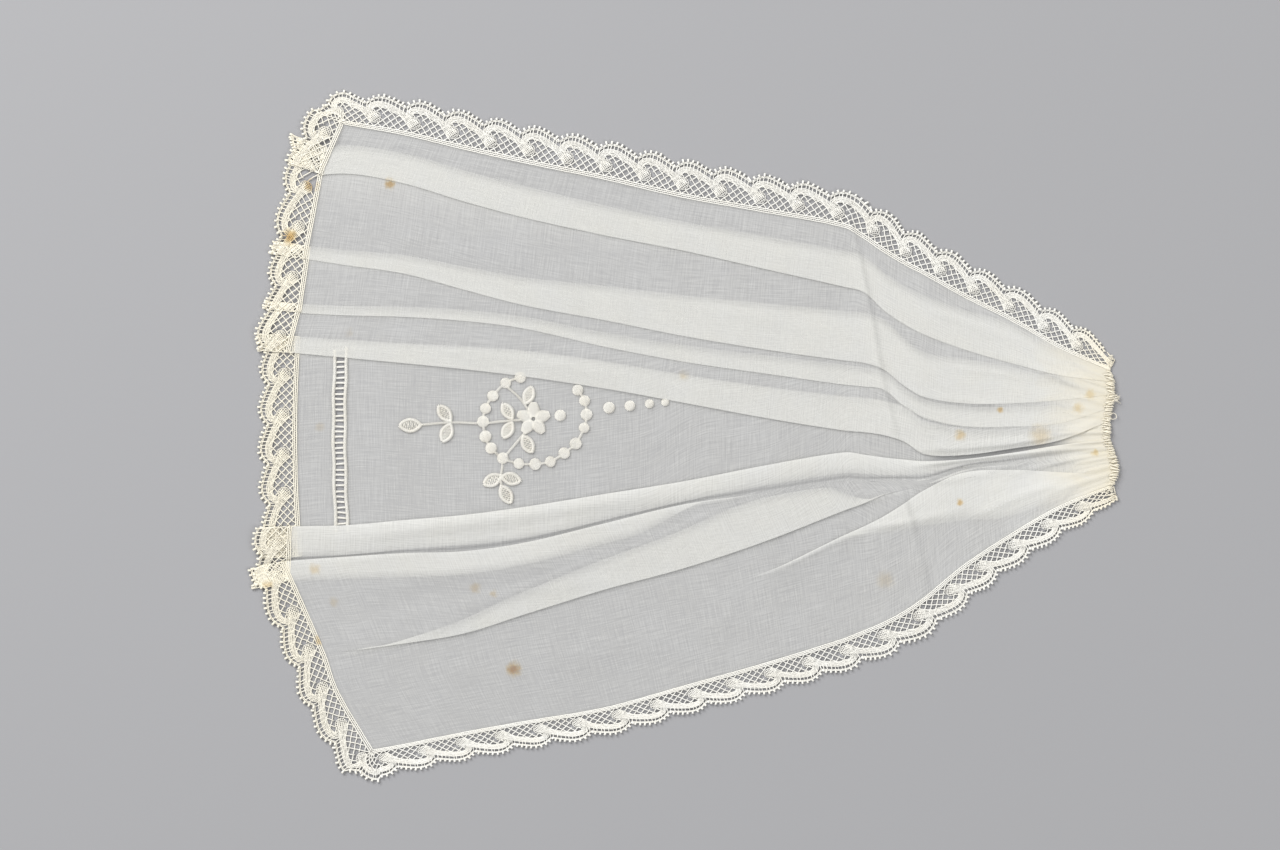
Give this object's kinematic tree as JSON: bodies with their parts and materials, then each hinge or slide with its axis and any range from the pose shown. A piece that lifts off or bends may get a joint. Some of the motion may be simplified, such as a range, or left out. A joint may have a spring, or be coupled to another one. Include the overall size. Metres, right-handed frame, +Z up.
{
  "type": "jabot",
  "caption": "Pleated sheer lawn jabot laid flat, gathered to a narrow neck edge, with scalloped lace on three sides and whitework on its centre.",
  "frame": {"origin": "middle of the outline, on the surface that the jabot lies on", "axes": "+X from the lace hem to the gathered neck edge, +Y across the pleats, +Z up from the surface"},
  "size_m": [0.2172, 0.173, 0.004],
  "materials": {
    "lawn": "sheer white cotton lawn, matt, softly pleated, with a few tan foxing stains",
    "lace": "cream cotton lace, matt",
    "thread": "white cotton embroidery thread, slight satin sheen"
  },
  "bodies": {
    "root": {"panel": "lawn", "lace_edging": "lace", "hemstitch_outer": "thread", "hemstitch_inner": "thread", "satin_ring": "thread", "satin_flower": "thread", "sprig_inner": "thread", "sprig_hemward": "thread", "sprig_lower": "thread", "dot_in_ring": "thread", "dot_row_1": "thread", "dot_row_2": "thread", "dot_row_3": "thread"}
  },
  "joints": []
}
